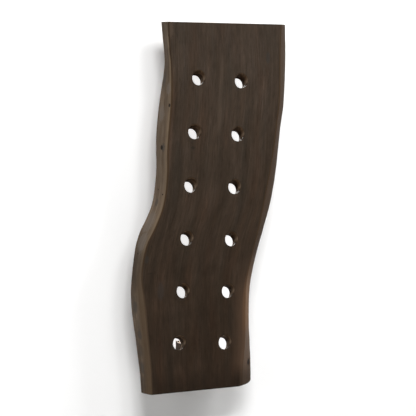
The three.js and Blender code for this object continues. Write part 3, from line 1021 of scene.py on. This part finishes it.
thread = bmesh.new()
steps = thread_turns * screw_sides
corners = [thread.verts.new((radius, -thread_start + depth, 0)) for radius, depth in (
    (thread_root, thread_foot / 2), (thread_root, -thread_foot / 2), (shank_radius, 0))]
sides = [thread.edges.new(pair) for pair in zip(corners, corners[1:] + corners[:1])]
bmesh.ops.spin(thread, geom=corners + sides, cent=(0, 0, 0), axis=(0, 1, 0),
               dvec=(0, -thread_pitch / screw_sides, 0), angle=2 * pi * thread_turns, steps=steps,
               use_merge=False, use_normal_flip=False, use_duplicate=False)
bmesh.ops.holes_fill(thread, edges=thread.edges, sides=3)
for point in thread.verts:
    depth = -point.co.y
    crest = sqrt(point.co.x ** 2 + point.co.z ** 2)
    grown = min(1, max(0, (depth - thread_start) / (2 * thread_pitch)))
    radius = thread_root + (crest - thread_root) * (0.15 + 0.85 * grown)
    radius *= min(1, max(0.06, (screw_length - depth) / tip_length))
    point.co.x *= radius / crest
    point.co.z *= radius / crest
    point.co.y = max(point.co.y, -screw_length)
bmesh.ops.recalc_face_normals(thread, faces=thread.faces)
cut_out(screw, thread, "UNION")
smooth(screw, 30)

screw_steel, tree, shader = new_material("screw_steel", Metallic=1.0)
place = place_on(tree)
plated = (0.60, 0.585, 0.55, 1)
tarnish = (0.24, 0.205, 0.16, 1)
clouds = speckle(tree, place, (180.0, 180.0, 180.0), 4.0, 0.6)
tone = mix_colour(tree, ramp(tree, clouds, 0.45, 0.75, 0.0, 0.7), plated, tarnish)
tree.links.new(tone, shader.inputs["Base Color"])
turned_marks = speckle(tree, place, (300.0, 4200.0, 300.0), 2.0)
dull = maths(tree, "ADD", ramp(tree, turned_marks, 0.3, 0.7, 0.24, 0.40),
             ramp(tree, clouds, 0.45, 0.75, 0.0, 0.22))
tree.links.new(dull, shader.inputs["Roughness"])
bumpy(tree, shader, turned_marks, 0.2, 0.1 * mm)

for name in sorted(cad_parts):
    if "_screw_" not in name:
        continue
    low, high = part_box(name)
    mesh = screw.data.copy()
    mesh.name = "plated_" + name
    mesh.transform(Matrix.Translation(((low.x + high.x) / 2, high.y, (low.z + high.z) / 2)))
    mesh.materials.append(screw_steel)
    placed = bpy.data.objects.new("plated_" + name, mesh)
    bpy.context.collection.objects.link(placed)
    settle(placed, "rack", "screw_steel", name)
bpy.data.objects.remove(screw)


# Felt pads. Two round self-adhesive discs of grey wool felt on the spacer's back, which keep the
# wall unmarked. The cut rim is soft and the face slightly uneven.
pad_sides = 72
pad_rim = 0.45 * mm
pad_unevenness = 0.12 * mm
pad_lumps_per_metre = 900
felt, tree, shader = new_material("grey_felt", Sheen_Weight=0.5, Sheen_Roughness=0.6,
                                  Specular_IOR_Level=0.15, Roughness=0.95)
place = place_on(tree)
felt_dark = (0.075, 0.072, 0.068, 1)
felt_light = (0.185, 0.178, 0.168, 1)
matted = ramp(tree, speckle(tree, place, (900.0, 900.0, 900.0), 4.0, 0.7), 0.32, 0.68)
hairs = node(tree, "ShaderNodeTexNoise", {
    "Vector": vector_maths(tree, "MULTIPLY", place, (2600.0, 2600.0, 2600.0)), "Scale": 1.0,
    "Detail": 2.0, "Distortion": 3.0}).outputs["Fac"]
tone = mix_colour(tree, matted, felt_dark, felt_light)
tone = mix_colour(tree, ramp(tree, hairs, 0.55, 0.72, 0.0, 0.5), tone, (0.30, 0.29, 0.275, 1))
tree.links.new(tone, shader.inputs["Base Color"])
bumpy(tree, shader, maths(tree, "ADD", matted, hairs), 0.6, 0.3 * mm)

for side in ("left", "right"):
    low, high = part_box("felt_pad_" + side)
    middle = (low + high) / 2
    radius = (high.x - low.x) / 2
    face_half = [(radius * share, 0) for share in (0, 0.15, 0.3, 0.45, 0.6, 0.75, 0.88)] + [
        (radius - pad_rim, 0), (radius - 0.3 * pad_rim, 0.3 * pad_rim), (radius, pad_rim)]
    shape = bmesh.new()
    turned(shape, [(out, low.y + depth) for out, depth in face_half] + [
        (out, high.y - depth) for out, depth in reversed(face_half)
    ], middle.x, middle.z, pad_sides)
    for point in shape.verts:
        inwards = (middle - point.co).normalized()
        swell = 0.5 + 0.5 * noise.noise(point.co * pad_lumps_per_metre)
        point.co += inwards * pad_unevenness * swell
    pad = new_piece("felt_wall_pad_" + side, shape, felt)
    smooth(pad, 60, flat_enough=2)
    settle(pad, "rack", "felt", "felt_pad_" + side)
